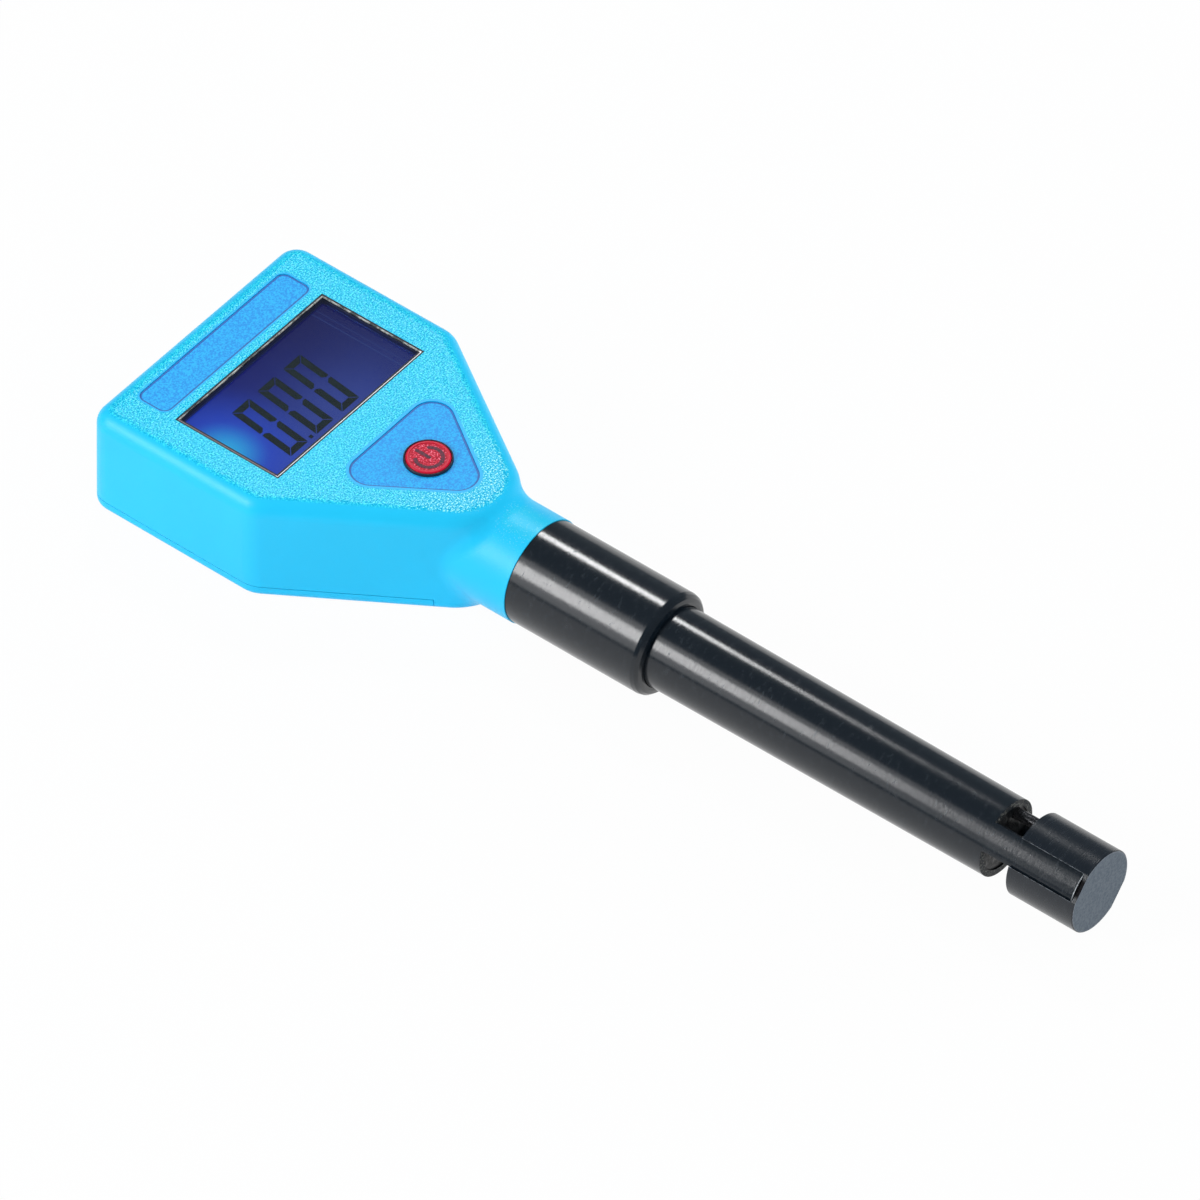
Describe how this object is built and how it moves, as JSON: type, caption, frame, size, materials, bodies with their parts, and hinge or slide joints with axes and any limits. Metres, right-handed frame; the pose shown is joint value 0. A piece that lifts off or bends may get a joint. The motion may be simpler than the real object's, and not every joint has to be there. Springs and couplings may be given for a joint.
{
  "type": "handheld conductivity meter",
  "caption": "Handheld conductivity meter: paddle-shaped head with a display and a power button, on a round probe with a slotted measuring tip.",
  "frame": {"origin": "middle of the meter's length and width, on the plane that its back lies on", "axes": "+X along the reading on the display, +Y from the probe's tip to the end of the head, +Z out of the face"},
  "size_m": [0.0586, 0.2044, 0.0232],
  "materials": {
    "case_plastic": "sky-blue moulded plastic, fine spark texture on the face and satin walls",
    "overlay_film": "finely grained blue film",
    "button_plastic": "red, with a bright rim",
    "window_plastic": "clear acrylic",
    "holder_plastic": "black",
    "display_glass": "negative blue display, lit from the left",
    "strip_rubber": "layered conductive silicone",
    "light_guide": "frosted light guide",
    "board": "green solder mask on glass epoxy",
    "chip_plastic": "black moulding compound",
    "header_plastic": "natural nylon",
    "trimmer_plastic": "blue",
    "cell_wrap": "plain printed sleeve over a metal can",
    "contact_metal": "nickel plated",
    "capacitor_ceramic": "fired, with plated ends",
    "screw_steel": "zinc plated",
    "black_plastic": "polished black, lightly scuffed",
    "seal_rubber": "plain",
    "potting": "black epoxy",
    "electrode": "polished graphite rod"
  },
  "bodies": {
    "case": {"front_case": "case_plastic", "back_cover": "case_plastic", "case_screws": "screw_steel", "label_plate": "overlay_film", "keypad_overlay": "overlay_film", "switch_body": "chip_plastic", "lcd_window": "window_plastic", "lcd_holder": "holder_plastic", "lcd_panel": "display_glass", "zebra_strips": "strip_rubber", "backlight_panel": "light_guide", "backlight_led": "light_guide", "main_board": "board", "sensor_header": "header_plastic", "trimmer_body": "trimmer_plastic", "battery_cell_left": "cell_wrap", "battery_cell_right": "cell_wrap", "battery_springs": "contact_metal", "battery_contacts": "contact_metal", "battery_bridge": "contact_metal", "controller_chip": "chip_plastic", "amplifier_chip": "chip_plastic", "clock_crystal": "contact_metal", "chip_capacitors": "capacitor_ceramic", "power_capacitor": "contact_metal", "boost_inductor": "chip_plastic", "sleeve": "black_plastic", "probe_tube": "black_plastic", "sensor_cable": "seal_rubber", "tip_carrier": "potting", "temperature_sensor": "screw_steel", "electrode_upper": "electrode", "electrode_lower": "electrode", "end_block": "black_plastic"},
    "button": {"power_button": "button_plastic", "switch_plunger": "chip_plastic"},
    "door": {"battery_door": "case_plastic"},
    "trimmer": {"trimmer_rotor": "header_plastic"}
  },
  "joints": [
    {"name": "power_button_press", "type": "slide", "parent": "case", "child": "button", "axis": [0, 0, -1], "range_m": [0, 0.0006], "stiffness_N_per_m": 1500, "springref_m": -0.0002},
    {"name": "battery_door_slide", "type": "slide", "parent": "case", "child": "door", "axis": [0, 1, 0], "range_m": [0, 0.052]},
    {"name": "trimmer_turn", "type": "hinge", "parent": "case", "child": "trimmer", "pos_m": [0.0185, 0.0702, 0.0098], "axis": [0, 0, 1], "range_deg": [-135, 135]}
  ]
}
